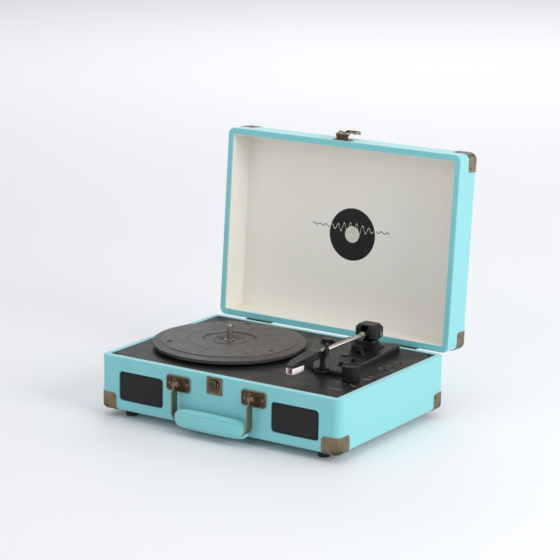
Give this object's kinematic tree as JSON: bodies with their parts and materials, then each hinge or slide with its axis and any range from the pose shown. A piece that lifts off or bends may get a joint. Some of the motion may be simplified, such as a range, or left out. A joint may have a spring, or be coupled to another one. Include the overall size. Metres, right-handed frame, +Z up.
{
  "type": "suitcase record player",
  "caption": "Portable belt-driven record player in a small suitcase: padded handle, hinged lid with latch, brass corners, platter, tonearm with lift, speakers behind front grilles.",
  "frame": {"origin": "on the table under the centre of the open player's outline", "axes": "+Z up, -Y towards the handle side, +X towards the tonearm side"},
  "size_m": [0.3574, 0.3451, 0.3439],
  "materials": {
    "leatherette": "grained",
    "wood_block": "raw",
    "antique_brass": "aged satin",
    "rivet_brass": "aged satin",
    "foot_rubber": "matt",
    "steel_screw": "blackened",
    "speaker_cloth": "woven",
    "speaker_steel": "satin",
    "speaker_paper": "matt",
    "deck_panel": "matt",
    "cream_lining": "matt",
    "platter_plastic": "satin",
    "pad_rubber": "matt",
    "bright_steel": "polished",
    "motor_steel": "satin",
    "white_plastic": "satin",
    "black_plastic": "satin",
    "silver_tube": "satin",
    "guard_plastic": "translucent",
    "stylus_red": "gloss",
    "pin_brass": "bright",
    "jack_shell": "satin",
    "circuit_board": "gloss",
    "board_component": "satin",
    "standoff_plastic": "satin"
  },
  "bodies": {
    "case": {"base_case": "leatherette", "corner_blocks": "wood_block", "base_corner_guards": "antique_brass", "base_rivets": "rivet_brass", "feet": "foot_rubber", "case_screws": "steel_screw", "speaker_grilles": "speaker_cloth", "speaker_frames": "speaker_steel", "speaker_cones": "speaker_paper", "deck_plate": "deck_panel", "hinge_base_leaves": "antique_brass", "hinge_pins": "rivet_brass", "latch_catch": "antique_brass", "handle_brackets": "antique_brass", "handle_pins": "rivet_brass", "spindle": "bright_steel", "spindle_fixings": "bright_steel", "drive_belt": "pad_rubber", "motor": "motor_steel", "motor_mounts": "foot_rubber", "amp_board": "circuit_board", "board_standoffs": "standoff_plastic", "board_parts": "board_component", "volume_pot": "black_plastic", "deck_jacks": "jack_shell", "dc_jack": "jack_shell", "arm_base": "black_plastic", "pivot_collar": "black_plastic", "arm_base_screws": "steel_screw", "rest_post": "black_plastic", "lift_tower": "black_plastic"},
    "platter": {"platter": "platter_plastic", "platter_pads": "pad_rubber"},
    "motor_pulley": {"motor_pulley": "white_plastic"},
    "arm_pivot": {"arm_housing": "black_plastic", "arm_pivot_shaft": "silver_tube", "gimbal_screws": "bright_steel"},
    "arm": {"arm_tube": "silver_tube", "counterweight": "silver_tube", "headshell": "black_plastic", "cartridge": "black_plastic", "cartridge_pins": "pin_brass", "stylus": "stylus_red"},
    "stylus_guard": {"stylus_guard": "guard_plastic"},
    "rest_clip": {"rest_clip": "black_plastic"},
    "lift_bar": {"lift_bar": "black_plastic"},
    "cue_lever": {"cue_lever": "black_plastic"},
    "speed_selector": {"speed_selector": "black_plastic"},
    "stop_switch": {"stop_switch": "black_plastic"},
    "mode_switch": {"mode_switch": "black_plastic"},
    "volume_knob": {"volume_knob": "black_plastic"},
    "handle": {"handle_strap": "antique_brass", "handle_grip": "leatherette"},
    "lid": {"lid_shell": "leatherette", "lid_lining": "cream_lining", "lid_corner_guards": "antique_brass", "lid_rivets": "rivet_brass", "hinge_lid_leaves": "antique_brass", "latch_bracket": "antique_brass"},
    "latch_hasp": {"latch_hasp": "antique_brass"}
  },
  "joints": [
    {"name": "lid_hinge", "type": "hinge", "parent": "case", "child": "lid", "pos_m": [0, 0.1038, 0.0756], "axis": [1, 0, 0], "range_deg": [0, 94]},
    {"name": "hasp_hinge", "type": "hinge", "parent": "lid", "child": "latch_hasp", "pos_m": [0, 0.1327, 0.33983], "axis": [1, 0, 0], "range_deg": [0, 170]},
    {"name": "platter_spin", "type": "hinge", "parent": "case", "child": "platter", "pos_m": [-0.0655, -0.0301, 0.0874], "axis": [0, 0, 1], "continuous": true},
    {"name": "motor_spin", "type": "hinge", "parent": "case", "child": "motor_pulley", "pos_m": [-0.1249, 0.0293, 0.0844], "axis": [0, 0, 1], "continuous": true},
    {"name": "arm_swing", "type": "hinge", "parent": "case", "child": "arm_pivot", "pos_m": [0.095, 0.0529, 0.1069], "axis": [0, 0, -1], "range_deg": [0, 46]},
    {"name": "arm_lift", "type": "hinge", "parent": "arm_pivot", "child": "arm", "pos_m": [0.095, 0.0529, 0.1069], "axis": [1, 0, 0], "range_deg": [-18, 0]},
    {"name": "guard_slide", "type": "slide", "parent": "arm", "child": "stylus_guard", "axis": [0, -1, 0], "range_m": [0, 0.03]},
    {"name": "clip_hinge", "type": "hinge", "parent": "case", "child": "rest_clip", "pos_m": [0.1016, -0.0641, 0.1106], "axis": [0, -1, 0], "range_deg": [0, 90]},
    {"name": "cue_hinge", "type": "hinge", "parent": "case", "child": "cue_lever", "pos_m": [0.10038, 0.01817, 0.091], "axis": [-0.6782, -0.7349, 0], "range_deg": [0, 41]},
    {"name": "lift_slide", "type": "slide", "parent": "case", "child": "lift_bar", "axis": [0, 0, 1], "range_m": [0, 0.003]},
    {"name": "speed_turn", "type": "hinge", "parent": "case", "child": "speed_selector", "pos_m": [0.04, 0.0389, 0.0904], "axis": [0, 0, 1], "range_deg": [-20, 20]},
    {"name": "stop_slide", "type": "slide", "parent": "case", "child": "stop_switch", "axis": [0, -1, 0], "range_m": [0, 0.006]},
    {"name": "mode_slide", "type": "slide", "parent": "case", "child": "mode_switch", "axis": [0, -1, 0], "range_m": [0, 0.006]},
    {"name": "volume_turn", "type": "hinge", "parent": "case", "child": "volume_knob", "pos_m": [0.143, -0.0731, 0.0874], "axis": [0, 0, -1], "range_deg": [0, 280]},
    {"name": "handle_swing", "type": "hinge", "parent": "case", "child": "handle", "pos_m": [0, -0.1601, 0.061], "axis": [-1, 0, 0], "range_deg": [0, 120]}
  ],
  "couplings": [
    {"joint": "motor_spin", "follows": "platter_spin", "ratio": 14.4},
    {"joint": "cue_hinge", "follows": "lift_slide", "rad_per_m": 232.7}
  ]
}
